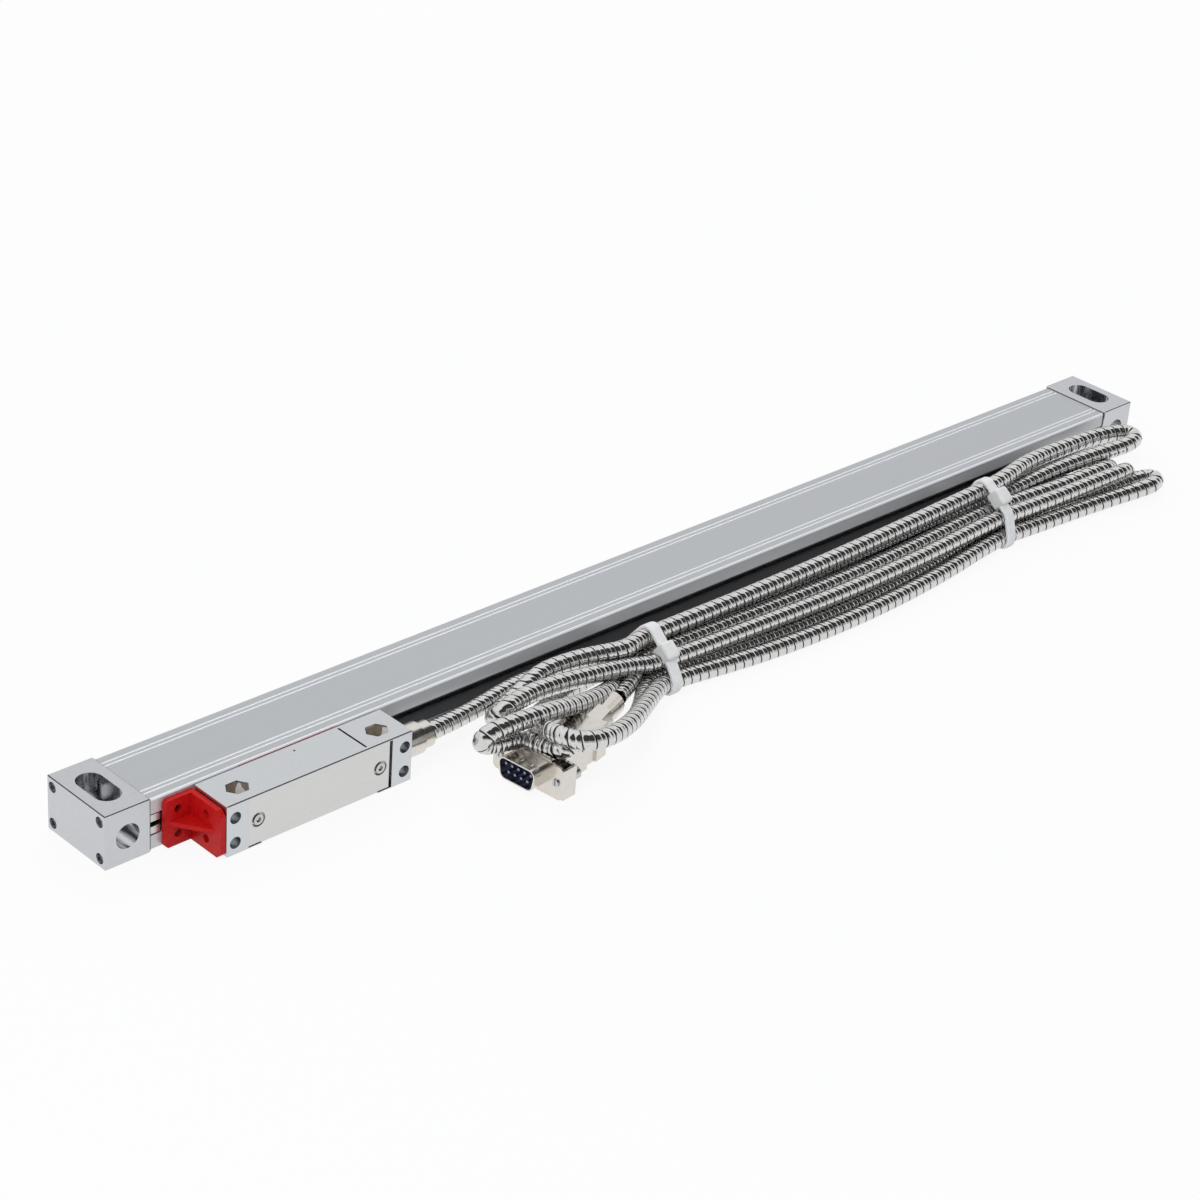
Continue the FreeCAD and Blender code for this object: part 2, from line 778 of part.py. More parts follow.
# Transport bracket: one plate on the housing, one on the head's end, and a rib between them
def transport_bracket():
    wall_back = body_front - bracket_gap
    wall_front = wall_back - bracket_thickness
    arm_end = head_start - bracket_gap
    arm_start = arm_end - bracket_thickness
    bottom = head_floor_gap
    top = head_top - bracket_top_drop
    wall = section_prism([(wall_back, bottom), (wall_back, top), (wall_front, top), (wall_front, bottom)],
                         bracket_start, arm_end)
    wall = chamfer_edges(wall, bracket_bevel / 2,
                         lambda e: runs_along(e, (0, 1, 0)) and e.Vertexes[0].X < bracket_start + 1)
    arm = box(arm_start, arm_end, head_front + head_chamfer, wall_front, bottom, top)
    arm = chamfer_edges(arm, bracket_bevel,
                        lambda e: runs_along(e, (1, 0, 0)) and e.Vertexes[0].Y < head_front + 1)
    rib = plan_prism([(bracket_start + bracket_bevel, wall_front), (arm_start, wall_front),
                      (arm_start, head_front + 2 * bracket_bevel)],
                     bracket_rib_z, bracket_rib_z + bracket_rib)
    solid = wall.fuse(arm).fuse(rib).removeSplitter()
    for hole_z in bracket_hole_z:
        wall_hole_x = (bracket_start + arm_start) / 2
        solid = solid.cut(rod(bracket_hole_radius, bracket_thickness,
                              (wall_hole_x, wall_front, hole_z), (0, 1, 0)))
        arm_hole_y = (head_front + wall_front) / 2
        solid = solid.cut(rod(bracket_hole_radius, bracket_thickness,
                              (arm_start, arm_hole_y, hole_z), (1, 0, 0)))
    return solid


# Hose and its route, from points joined by straight runs and tangent arcs
gland_face = head_end + gland_length + sleeve_length
lead_route = [(gland_face, gland_y, gland_z), (141.0, -9.6, 10.2), (165.0, -6.8, 12.0),
              (186.0, -7.6, 11.7), (207.0, -11.8, 10.0)]
bundle_start = 207.0
bundle_end = 430.0
hank_bottom_z = tie_thickness + fit_gap


def route_tube(points, label):
    corners = [FreeCAD.Vector(*point) for point in points]
    edges = []
    radii = []
    start = corners[0]
    for before, corner, after in zip(corners, corners[1:], corners[2:]):
        into = corner - before
        out = after - corner
        turn = into.getAngle(out)
        setback = 0.45 * min(into.Length, out.Length)
        first = corner - FreeCAD.Vector(into).normalize() * setback
        last = corner + FreeCAD.Vector(out).normalize() * setback
        bend = (first - corner).normalize() + (last - corner).normalize()
        radius = setback / math.tan(turn / 2)
        reach = math.hypot(radius, setback) - radius
        middle = corner + bend.normalize() * reach
        edges.append(Part.LineSegment(start, first).toShape())
        edges.append(Part.Arc(first, middle, last).toShape())
        radii.append(radius)
        start = last
    edges.append(Part.LineSegment(start, corners[-1]).toShape())
    path = Part.Wire(edges)
    direction = corners[1] - corners[0]
    section = Part.Wire(Part.makeCircle(hose_diameter / 2, corners[0], direction))
    tube = path.makePipeShell([section], True, False)
    ideal = math.pi * hose_diameter ** 2 / 4 * path.Length
    print(label, "length %.1f" % path.Length, "radii", ["%.0f" % r for r in radii],
          "volume share %.4f" % (tube.Volume / ideal))
    return tube


def bundle_section():
    # The strands' common outline across the hank, from the housing side over the top to the floor
    return [(-4.4, hank_bottom_z), (-39.4, hank_bottom_z), (-39.4, 7.0), (-34.0, 13.5), (-20.0, 20.8),
            (-4.4, 20.8)]


def hose_hank():
    solid = section_prism(bundle_section(), bundle_start, bundle_end)
    far_outline = [(bundle_end, -2.1), (488.0, -2.1), (498.0, -6.0), (501.6, -13.0), (501.6, -31.0),
                   (498.0, -36.4), (bundle_end, -39.4)]
    solid = solid.fuse(plan_prism(far_outline, hank_bottom_z, 20.8))
    high_outline = [(bundle_start, -12.2), (170.0, -12.0), (160.0, -14.5), (149.0, -17.8), (141.0, -21.0),
                    (131.0, -23.6), (127.8, -27.8), (bundle_start, -27.8)]
    solid = solid.fuse(plan_prism(high_outline, hood_top_z + 0.4, 23.4))
    over_outline = [(bundle_start, -27.8), (127.8, -27.8), (140.0, -36.0), (150.0, -52.0), (176.0, -50.0),
                    (195.0, -42.0), (bundle_start, -38.0)]
    solid = solid.fuse(plan_prism(over_outline, hood_top_z + 0.4, 20.8))
    return solid.removeSplitter()


def cable_tie(start_x):
    # A band round the bundle, with its lock on the sloping front side
    inner = section_prism(bundle_section(), start_x, start_x + tie_width)
    band_face = face_of([(start_x, y, z) for y, z in bundle_section()]).makeOffset2D(tie_thickness)
    band = band_face.extrude(FreeCAD.Vector(tie_width, 0, 0)).cut(inner)
    low_y, low_z = bundle_section()[3]
    high_y, high_z = bundle_section()[4]
    slope = math.hypot(high_y - low_y, high_z - low_z)
    along_y, along_z = (high_y - low_y) / slope, (high_z - low_z) / slope
    out_y, out_z = -along_z, along_y
    middle = slope / 2
    outline = []
    for along, out in ((-0.5, 0), (-0.5, 1), (0.5, 1), (0.5, 0)):
        reach = middle + along * tie_head_length
        rise = tie_thickness / 2 + out * tie_head_height
        outline.append((low_y + along_y * reach + out_y * rise, low_z + along_z * reach + out_z * rise))
    lock = section_prism(outline, start_x - tie_thickness / 2, start_x + tie_width + tie_thickness / 2)
    return band.fuse(lock.cut(inner))


def hose_gland():
    collar = rod(gland_radius, gland_length, (head_end, gland_y, gland_z), (1, 0, 0))
    spigot = rod(gland_spigot_radius, gland_spigot_length, (head_end, gland_y, gland_z), (-1, 0, 0))
    return collar.fuse(spigot)


def hose_sleeve():
    return rod(sleeve_radius, sleeve_length, (head_end + gland_length, gland_y, gland_z), (1, 0, 0))


# Nine-pin plug, drawn along +X from the shell's open end and then turned to its place
flange_front = shell_projection
flange_back = flange_front + flange_thickness
hood_wall_end = flange_back + hood_wall_length
hood_half_width = flange_length / 2 - 0.2
hood_outline = [(flange_back, -hood_half_width), (hood_wall_end, -hood_half_width),
                (hood_wall_end, -hood_body_half_width), (22.0, -8.3), (33.0, -7.0), (39.3, -6.0),
                (34.78, 9.77), (21.0, 8.6), (hood_wall_end, hood_body_half_width),
                (hood_wall_end, hood_half_width), (flange_back, hood_half_width)]
exit_axis = FreeCAD.Vector(math.cos(math.radians(hose_exit_turn)), math.sin(math.radians(hose_exit_turn)), 0)
exit_face = FreeCAD.Vector(37.04, 1.885, plug_middle_z)


def on_plug(point):
    turned = FreeCAD.Rotation(FreeCAD.Vector(0, 0, 1), plug_turn).multVec(FreeCAD.Vector(*point))
    return turned + FreeCAD.Vector(plug_x, plug_y, 0)


def plug_node(name, *solids):
    placed = []
    for solid in solids:
        copy = solid.copy()
        copy.rotate(FreeCAD.Vector(0, 0, 0), FreeCAD.Vector(0, 0, 1), plug_turn)
        copy.translate(FreeCAD.Vector(plug_x, plug_y, 0))
        placed.append(copy)
    node(name, *placed)


def d_prism(inset, x0, x1):
    half_height = shell_height / 2 - inset
    lean = math.tan(math.radians(shell_lean))
    top = shell_long_side / 2 - inset - inset * lean
    bottom = top - 2 * half_height * lean
    solid = section_prism([(-top, plug_middle_z + half_height), (top, plug_middle_z + half_height),
                           (bottom, plug_middle_z - half_height),
                           (-bottom, plug_middle_z - half_height)], x0, x1)
    rounding = shell_corner_radius - inset
    return solid.makeFillet(rounding, [e for e in solid.Edges if runs_along(e, (1, 0, 0))])


def jackscrew_places():
    return [(side * jackscrew_spacing / 2, plug_middle_z) for side in (-1, 1)]


def connector_shell():
    flange = box(flange_front, flange_back, -flange_length / 2, flange_length / 2,
                 plug_middle_z - flange_height / 2, plug_middle_z + flange_height / 2)
    flange = flange.makeFillet(2.0, [e for e in flange.Edges if runs_along(e, (1, 0, 0))])
    solid = flange.fuse(d_prism(0, 0, flange_front))
    for side_y in shell_dimple_offsets:
        for side in (-1, 1):
            middle_z = plug_middle_z + side * (shell_height / 2 + shell_dimple_radius - shell_dimple_depth)
            middle = FreeCAD.Vector(shell_projection / 2, side_y, middle_z)
            solid = solid.cut(Part.makeSphere(shell_dimple_radius, middle))
    solid = solid.cut(d_prism(shell_wall, 0, flange_back))
    for side_y, middle_z in jackscrew_places():
        solid = solid.cut(rod(jackscrew_radius + fit_gap, flange_thickness,
                              (flange_front, side_y, middle_z), (1, 0, 0)))
    return solid


def connector_insulator():
    solid = d_prism(shell_wall, insulator_recess, hood_wall_end - 0.2)
    for pin in pin_places():
        solid = solid.cut(rod(pin_radius, hood_wall_end, (0, pin[0], pin[1]), (1, 0, 0)))
    return solid


def pin_places():
    places = []
    for count, side in ((5, 1), (4, -1)):
        for i in range(count):
            places.append(((i - (count - 1) / 2) * pin_pitch, plug_middle_z + side * pin_row_gap / 2))
    return places


def connector_pins():
    length = hood_wall_end - pin_start - fit_gap
    return [rod(pin_radius, length, (pin_start, y, z), (1, 0, 0)) for y, z in pin_places()]


def ear_space(side, wall, z0, z1):
    # The room inside one of the hood's ears, with this much wall left round it
    edges = sorted((side * (hood_body_half_width + wall / 2), side * (hood_half_width - wall)))
    return box(flange_back + wall, hood_wall_end - wall, edges[0], edges[1], z0, z1)


def connector_hood(bottom_z, top_z):
    solid = plan_prism(hood_outline, bottom_z, top_z)
    if top_z > hood_deck_z:
        deck_start = flange_back + hood_front_wall
        solid = solid.cut(box(deck_start, deck_start + hood_deck_length, -hood_body_half_width,
                              hood_body_half_width, hood_deck_z, top_z))
        for side in (-1, 1):
            solid = solid.cut(ear_space(side, 0, hood_ear_top_z, top_z))
            solid = solid.cut(ear_space(side, hood_ear_wall, bottom_z, top_z))
    else:
        notch_end = hood_notch_start + hood_notch_length
        solid = solid.cut(box(hood_notch_start, notch_end, -hood_body_half_width,
                              -hood_notch_face, bottom_z, top_z))
    solid = solid.cut(d_prism(shell_wall - fit_gap, flange_back, hood_wall_end))
    for side_y, middle_z in jackscrew_places():
        solid = solid.cut(rod(jackscrew_radius + fit_gap, hood_wall_end,
                              (flange_back, side_y, middle_z), (1, 0, 0)))
    inner = box(hood_wall_end + 1.2, 33.0, -5.0, 6.0, hood_bottom_z + 1.4, hood_top_z - 1.4)
    solid = solid.cut(inner)
    socket = rod(hose_diameter / 2, 6.0, tuple(exit_face), tuple(-exit_axis))
    return solid.cut(socket)


def jackscrew(side_y):
    tip_start = flange_front - jackscrew_tip
    tip = rod(jackscrew_radius, hood_wall_end - tip_start, (tip_start, side_y, plug_middle_z), (1, 0, 0))
    slot = box(tip_start, flange_front, side_y - jackscrew_tip / 2, side_y + jackscrew_tip / 2,
               0, hood_top_z)
    head = rod(jackscrew_head_radius, jackscrew_head_length,
               (hood_wall_end, side_y, plug_middle_z), (1, 0, 0))
    return tip.cut(slot).fuse(head)


def ferrule_nut():
    return hex_prism(nut_across_flats, nut_length, tuple(exit_face), tuple(exit_axis))


def hose_ferrule():
    start = exit_face + exit_axis * nut_length
    return rod(ferrule_radius, ferrule_length, tuple(start), tuple(exit_axis))


def make_hose_and_plug():
    node("hose_gland", hose_gland())
    node("hose_sleeve", hose_sleeve())
    node("lead_hose", route_tube(lead_route, "lead"))
    node("hose_hank", hose_hank())
    ferrule_end = on_plug(exit_face + exit_axis * (nut_length + ferrule_length))
    tail_route = [tuple(ferrule_end), (200.4, -26.0, 6.75), (bundle_start, -24.2, 6.6)]
    node("tail_hose", route_tube(tail_route, "tail"))
    node("cable_tie_left", cable_tie(tie_left_x))
    node("cable_tie_right", cable_tie(tie_right_x))
    plug_node("connector_shell", connector_shell())
    plug_node("connector_insulator", connector_insulator())
    plug_node("connector_pins", *connector_pins())
    plug_node("connector_hood_lower", connector_hood(hood_bottom_z, hood_join_z))
    plug_node("connector_hood_upper", connector_hood(hood_join_z, hood_top_z))
    plug_node("jackscrew_near", jackscrew(-jackscrew_spacing / 2))
    plug_node("jackscrew_far", jackscrew(jackscrew_spacing / 2))
    plug_node("ferrule_nut", ferrule_nut())
    plug_node("hose_ferrule", hose_ferrule())


def main():
    os.makedirs("parts", exist_ok=True)
    make_housing()
    make_reading_head()
    make_carriage()
    node("transport_bracket", transport_bracket())
    make_hose_and_plug()


main()
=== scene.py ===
import json
import math

import bpy
import numpy as np
from mathutils import Matrix, Vector


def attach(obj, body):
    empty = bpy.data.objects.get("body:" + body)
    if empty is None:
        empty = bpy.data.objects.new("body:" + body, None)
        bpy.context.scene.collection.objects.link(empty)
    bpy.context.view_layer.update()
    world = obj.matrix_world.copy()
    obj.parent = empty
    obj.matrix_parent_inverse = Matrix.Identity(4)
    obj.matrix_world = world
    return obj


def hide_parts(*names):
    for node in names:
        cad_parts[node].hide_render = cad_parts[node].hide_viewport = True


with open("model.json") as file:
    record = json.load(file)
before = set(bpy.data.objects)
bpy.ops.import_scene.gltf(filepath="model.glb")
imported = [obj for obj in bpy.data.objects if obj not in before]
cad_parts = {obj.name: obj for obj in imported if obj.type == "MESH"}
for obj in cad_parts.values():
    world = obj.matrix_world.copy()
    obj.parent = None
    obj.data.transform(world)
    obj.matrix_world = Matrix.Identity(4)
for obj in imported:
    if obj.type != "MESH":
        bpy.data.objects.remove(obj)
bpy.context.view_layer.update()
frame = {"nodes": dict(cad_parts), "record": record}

# Sizes are in millimetres at part.py's station: x from the near block's outer end, y from the end
# blocks' front and z from the floor
STATION = Vector((258.0, 6.75, 0.0))
X, Y, Z = 0, 1, 2

# Camera, fitted to the block and head corners of the photograph: place in metres and its own axes
CAMERA_LENS = 92.508
CAMERA_SENSOR = 36.0
CAMERA_PLACE = Vector((-0.72425, -0.67356, 0.55349))
CAMERA_RIGHT = Vector((0.72568, -0.68477, 0.06694))
CAMERA_UP = Vector((0.29052, 0.39316, 0.87237))
CAMERA_BACK = Vector((-0.62369, -0.61361, 0.48425))

# The hose, with its length in metres. Its strip has a turn spacing that changes with x, and one turn's
# section is given as shares of that spacing with radii, where the gap's rows take painted shade, a dark
# metal
HOSE_DIAMETER = 6.8
STRIP_PITCH = ((200.0, 3.9), (300.0, 4.1), (400.0, 4.5), (470.0, 4.8))
STRIP_PROFILE = ((0.0, 2.75), (0.05, 3.22), (0.14, 3.35), (0.32, 3.36), (0.43, 3.24), (0.48, 3.16),
                 (0.53, 3.26), (0.64, 3.39), (0.84, 3.40), (0.95, 3.27))
SHADED_GAP_ROWS = (0, 9)
STRIP_SIDES = 14
CURVE_STEPS = 12

# The hose's middle line from the gland to the plug, placed so that strands and loops lie as in
# the photograph. The strands run between the two ties
HOSE_ROUTE = {
    "lead": [
        (123.2, -10.2, 10.2), (141.0, -9.6, 10.2), (165.0, -6.8, 12.0), (186.0, -7.6, 11.7),
        (207.0, -11.8, 10.0)],
    "strand 1": [
        (218.0, -10.6, 10.3), (262.0, -11.8, 10.3), (310.0, -12.6, 10.2), (358.0, -11.8, 10.4),
        (400.0, -10.8, 10.6)],
    "far loop 1": [
        (412.0, -12.4, 10.9), (424.0, -12.4, 11.3), (436.0, -12.4, 11.8), (450.0, -12.6, 12.5),
        (466.0, -13.6, 13.0), (482.0, -15.6, 13.4), (494.0, -17.2, 13.8), (501.0, -15.6, 14.2),
        (501.2, -10.4, 14.6), (494.0, -7.6, 15.0), (482.0, -6.0, 15.5), (466.0, -6.0, 16.2),
        (450.0, -6.6, 17.0), (436.0, -8.4, 17.8), (424.0, -11.6, 18.3), (412.0, -13.4, 18.2)],
    "strand 2": [
        (400.0, -13.6, 17.8), (358.0, -15.2, 17.4), (310.0, -16.5, 17.0), (262.0, -16.6, 16.8),
        (218.0, -15.0, 16.3)],
    "left loop 1": [
        (208.9, -17.7, 16.6), (201.5, -16.7, 17.2), (191.7, -14.0, 17.4), (180.8, -12.5, 17.4),
        (172.9, -12.3, 17.0), (166.1, -13.8, 16.0), (160.7, -14.6, 14.2), (156.0, -14.7, 12.2),
        (150.6, -15.6, 10.8), (146.3, -18.2, 11.4), (144.0, -21.6, 14.3), (146.6, -23.2, 17.2),
        (151.7, -21.8, 17.2), (161.8, -20.2, 17.0), (173.4, -20.6, 16.5), (188.9, -21.5, 15.0),
        (205.3, -21.9, 12.5)],
    "strand 3": [
        (218.0, -24.2, 10.3), (262.0, -26.4, 10.3), (310.0, -28.5, 10.3), (358.0, -27.4, 10.3),
        (400.0, -24.8, 11.2)],
    "far loop 2": [
        (420.0, -25.2, 10.4), (440.0, -26.0, 10.2), (462.0, -26.6, 10.2), (472.0, -27.2, 10.3),
        (480.8, -27.2, 10.1), (484.2, -24.8, 7.3), (480.8, -22.6, 4.4), (473.5, -21.6, 4.2),
        (462.0, -18.8, 3.6), (446.0, -15.2, 3.5), (424.0, -14.2, 3.5)],
    "strand 4": [
        (400.0, -14.2, 4.5), (358.0, -19.4, 3.5), (310.0, -22.5, 3.5), (262.0, -19.8, 3.5),
        (218.0, -14.2, 4.5)],
    "left loop 2": [
        (211.0, -15.4, 4.3), (203.0, -19.8, 5.8), (192.8, -25.7, 9.0), (180.6, -30.6, 12.5),
        (168.9, -34.1, 16.0), (158.3, -36.7, 19.5), (148.8, -38.4, 21.8), (141.2, -38.2, 22.4),
        (135.2, -38.0, 22.6), (128.4, -36.9, 22.0), (124.4, -35.5, 18.9), (127.6, -34.9, 15.7),
        (134.0, -36.4, 15.5), (139.0, -36.6, 14.7), (143.1, -37.2, 13.2), (144.9, -41.7, 12.9),
        (146.1, -46.7, 12.9), (147.3, -50.9, 14.2), (151.1, -52.4, 16.4), (155.8, -54.2, 16.2),
        (161.5, -54.8, 15.4), (169.6, -53.2, 13.6), (180.5, -48.8, 11.1), (189.2, -44.2, 9.1),
        (200.0, -35.6, 5.6), (209.0, -27.6, 4.2)],
    "strand 5": [
        (218.0, -21.1, 4.5), (262.0, -27.2, 3.5), (310.0, -29.4, 3.5), (358.0, -26.6, 3.5),
        (400.0, -21.0, 4.5)],
    "far loop 3": [
        (424.0, -20.8, 3.5), (450.0, -21.6, 3.5), (478.0, -26.6, 3.5), (490.8, -28.2, 4.2),
        (494.6, -32.2, 4.8), (489.6, -35.9, 4.8), (480.0, -34.8, 4.4), (464.0, -32.0, 3.8),
        (440.0, -29.6, 3.5), (420.0, -28.4, 3.5)],
    "strand 6": [
        (400.0, -27.8, 4.5), (358.0, -33.6, 3.5), (310.0, -36.4, 3.5), (262.0, -34.2, 3.5),
        (218.0, -27.9, 4.5)],
    "left loop 3": [
        (208.0, -33.6, 7.0), (196.8, -40.5, 9.5), (185.2, -47.9, 12.5), (176.6, -52.5, 14.5),
        (165.7, -56.9, 17.0), (157.7, -58.6, 18.8), (152.3, -57.5, 19.6), (148.9, -54.5, 19.9),
        (147.0, -50.7, 19.9), (147.0, -45.6, 19.3), (148.2, -40.2, 18.0), (149.7, -34.8, 16.8),
        (151.5, -30.0, 14.8), (156.5, -25.0, 9.6), (163.0, -20.0, 5.4), (174.0, -14.6, 3.7),
        (190.0, -10.0, 3.6), (205.0, -8.2, 3.8)],
    "strand 7": [
        (218.0, -7.4, 4.5), (262.0, -13.0, 3.5), (310.0, -15.7, 3.5), (358.0, -12.6, 3.5),
        (400.0, -7.4, 4.5)],
    "far loop 4": [
        (424.0, -7.4, 3.5), (446.0, -8.4, 3.5), (460.0, -11.4, 3.5), (470.5, -14.6, 3.6),
        (477.6, -16.4, 3.9), (481.0, -18.8, 6.9), (477.8, -20.9, 9.9), (470.0, -21.0, 10.2),
        (446.0, -20.9, 10.2), (424.0, -18.8, 10.4)],
    "strand 8": [
        (400.0, -18.2, 11.2), (358.0, -20.6, 10.4), (310.0, -21.6, 10.3), (262.0, -19.6, 10.3),
        (218.0, -17.4, 10.3)],
    "tail": [
        (207.5, -22.6, 7.6), (200.4, -26.0, 6.75), (194.4, -28.4, 6.75)],
}

# Cable ties, whose bands gain x with height. The band's section pairs a share of its thickness with x
TIE_LEFT_X = 216.0
TIE_RIGHT_X = 400.0
TIE_WIDTH = 4.6
TIE_THICKNESS = 1.1
TIE_CLEARANCE = 0.1
TIE_LOWEST = 0.06
TIE_SLANT = 0.2
TIE_POINTS = 72
TIE_SECTION = ((0.0, 0.0), (0.72, 0.0), (1.0, 0.35), (1.0, TIE_WIDTH - 0.35), (0.72, TIE_WIDTH),
               (0.0, TIE_WIDTH))
STRAND_SIDES = 24
PARALLEL = 1e-9
EDGE_SLACK = 1e-6

# Each tie's lock: the y and z of its outward direction and of the directions that find the two points
# of the band it rests on, and its levels as height above those points with inset
LOCK_LENGTH = 6.5
LOCK_WIDTH = TIE_WIDTH + 1.4
LOCK_CORNER = 0.9
LOCK_CORNER_POINTS = 4
LOCK_OUT = (-0.62, 0.785)
LOCK_RESTS = ((-0.462, 0.887), (-0.75, 0.661))
LOCK_LEVELS = ((-1.6, 0.0), (3.5, 0.0), (4.1, 0.2), (4.45, 0.55), (4.6, 1.1))

# Places of the painted highlights, light, reflections and shade in the housing's, blocks', head's and
# bracket's finishes
GROOVE_LINES = (4.3, 6.2, 25.0, 26.9)
GROOVE_HALF = 0.36
GROOVE_BOTTOM = 19.1
HOUSING_FRONT = 0.6
RIM_BACK = 1.15
RIM_BOTTOM = 18.85
OUTER_ENDS = ((None, 0.3), (515.7, None))
OUTER_EDGE_BOTTOM = 19.92
POCKET_PLACES = ((43.7, -10.3), (101.1, -10.3))
POCKET_HALF_X = 4.6
POCKET_HALF_Y = 3.7
POCKET_TOP = 18.9
PALE_REFLECTION_ABOVE = 0.52
TOP_SHADE_PLACES = (((91.3, 92.1), (-16.4, -1.9)), ((71.3, 72.1), (-4.4, -3.6)))
TOP_SHADE_BOTTOM = 18.2
BRACKET_BACK = 50.5

# The noise values between which a finish's colour and roughness change
COLOUR_SPAN = (0.35, 0.65)
ROUGHNESS_SPAN = (0.3, 0.7)

# The painted highlights, light, reflections and shade, each as a colour and the share of metal that it
# keeps
PAINTED_HIGHLIGHT = ((0.92, 0.93, 0.94), 0.2)
PAINTED_FRONT_LIGHT = ((0.62, 0.63, 0.635), 0.9)
PAINTED_EDGE_SHADE = ((0.06, 0.06, 0.065), 0.6)
POCKET_REFLECTION = ((0.42, 0.35, 0.28), 0.45)
PALE_POCKET_REFLECTION = ((0.95, 0.91, 0.86), 0.3)
PAINTED_TOP_SHADE = ((0.025, 0.025, 0.028), 0.2)
PAINTED_RED_SHADE = ((0.12, 0.004, 0.008), 1.0)

# Surroundings that the metal reflects: their brightness, and the part of an axis of the direction
# over which each comes in or fades
WALL_SHADE = 0.88
CEILING_SHADE = 1.0
PANEL_SHADE = 0.95
ROOM_SHADE = 0.05
LOW_ROOM_SHADE = 0.55
GROUND_SHADE = 0.85
WALL_FROM = (-0.16, -0.04)
CEILING_FROM = (0.52, 0.66)
PANEL_FROM = (0.80, 0.90)
DARK_ROOM_FROM = (0.26, 0.34)
GROUND_TO = (-0.01, 0.02)
FILL_COLOUR = (0.9, 0.93, 1.0)
FILL_STRENGTH = 0.62

# Lamps with their places and sizes in metres and their watts, and the floor in metres
LAMPS = (("key", (-1.2, -0.5, 1.5), 1.0, 14.0), ("rim", (0.9, 1.0, 1.2), 1.2, 8.0))
FLOOR_HALF = 3.0
FLOOR_HEIGHT = -0.0002
FLOOR_GLOW = 0.9


def at(x, y, z):
    """A station place as the scene's own, in metres."""
    return (Vector((x, y, z)) - STATION) / 1000


def level(axis, size):
    """A station size along one axis as a number in metres."""
    return float(at(size, size, size)[axis])


def mesh_piece(name, vertices, faces, body, smooth=True):
    mesh = bpy.data.meshes.new(name)
    mesh.from_pydata([tuple(v) for v in vertices], [], faces)
    mesh.update()
    if smooth:
        mesh.polygons.foreach_set("use_smooth", [True] * len(mesh.polygons))
    piece = bpy.data.objects.new(name, mesh)
    bpy.context.scene.collection.objects.link(piece)
    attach(piece, body)
    return piece


def place_camera():
    lens = bpy.data.cameras.new("camera")
    lens.lens = CAMERA_LENS
    lens.sensor_width = CAMERA_SENSOR
    camera = bpy.data.objects.new("camera", lens)
    turn = Matrix((CAMERA_RIGHT, CAMERA_UP, CAMERA_BACK)).transposed().to_4x4()
    camera.matrix_world = Matrix.Translation(CAMERA_PLACE) @ turn
    bpy.context.scene.collection.objects.link(camera)
    bpy.context.scene.camera = camera


# Hose
def spline_points(name, points):
    """The points of a smooth curve through this route, in metres, read from a curve with no bevel."""
    curve = bpy.data.curves.new(name, "CURVE")
    curve.dimensions = "3D"
    spline = curve.splines.new("NURBS")
    spline.points.add(len(points) - 1)
    for target, point in zip(spline.points, points):
        target.co = (*at(*point), 1.0)
    spline.order_u = 3
    spline.use_endpoint_u = True
    spline.resolution_u = CURVE_STEPS
    holder = bpy.data.objects.new(name, curve)
    mesh = bpy.data.meshes.new_from_object(holder)
    places = [v.co.copy() for v in mesh.vertices]
    bpy.data.objects.remove(holder)
    bpy.data.meshes.remove(mesh)
    return places


def swept_frames(places):
    """Arc lengths, centres and two cross axes along a path, with no twist."""
    centres = np.array([tuple(p) for p in places])
    steps = np.linalg.norm(np.diff(centres, axis=0), axis=1)
    lengths = np.concatenate(([0.0], np.cumsum(steps)))
    tangents = np.gradient(centres, lengths, axis=0)
    tangents /= np.linalg.norm(tangents, axis=1)[:, None]
    side = Vector(tangents[0]).orthogonal().normalized()
    sides = [side]
    for before, after in zip(tangents, tangents[1:]):
        side = (Vector(before).rotation_difference(Vector(after)) @ side).normalized()
        sides.append(side)
    sides = np.array([tuple(s) for s in sides])
    return lengths, centres, sides, np.cross(tangents, sides)


def read_along(path_lengths, lengths, vectors):
    """A path's vectors at other lengths along it."""
    return np.stack([np.interp(path_lengths, lengths, vectors[:, axis]) for axis in (X, Y, Z)], axis=-1)


def strip_faces(rows, per_turn):
    """Quads between neighbouring rows, where a row's end meets its start one turn further on."""
    faces = []
    for row in range(rows):
        for j in range(STRIP_SIDES):
            here = row * STRIP_SIDES + j
            if j < STRIP_SIDES - 1:
                beside = here + 1
            else:
                beside = (row + per_turn) * STRIP_SIDES
            faces.append((here, here + STRIP_SIDES, beside + STRIP_SIDES, beside))
    return faces


def armoured_hose(places):
    """The hose as one strip, wound along the route at the spacing that holds at each place."""
    lengths, centres, sides, ups = swept_frames(places)
    pitch = np.interp(centres[:, X] * 1000 + STATION.x, *zip(*STRIP_PITCH)) / 1000
    wound = np.concatenate(([0.0], np.cumsum(np.diff(lengths) / ((pitch[1:] + pitch[:-1]) / 2))))
    turns = range(-1, int(wound[-1]) + 1)
    rows = [(turn + share, radius / 1000) for turn in turns for share, radius in STRIP_PROFILE]
    starts = np.array([start for start, _ in rows])[:, None]
    radii = np.array([radius for _, radius in rows])[:, None, None]
    lead = np.arange(STRIP_SIDES)[None, :] / STRIP_SIDES
    along = np.interp(starts + lead, wound, lengths)
    angle = (2 * math.pi * lead)[..., None]
    centre = read_along(along, lengths, centres)
    side = read_along(along, lengths, sides)
    up = read_along(along, lengths, ups)
    surface = centre + radii * (side * np.cos(angle) + up * np.sin(angle))
    per_turn = len(STRIP_PROFILE)
    face_rows = len(rows) - per_turn - 1
    hose = mesh_piece("armoured_hose", surface.reshape(-1, 3), strip_faces(face_rows, per_turn),
                      "reading_head")
    # The gap rows take the second material, a dark metal painted as the shade in the seam between turns
    hose.data.polygons.foreach_set("material_index", [
        int(row % per_turn in SHADED_GAP_ROWS) for row in range(face_rows) for _ in range(STRIP_SIDES)])
    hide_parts("lead_hose", "hose_hank", "tail_hose")
    return hose


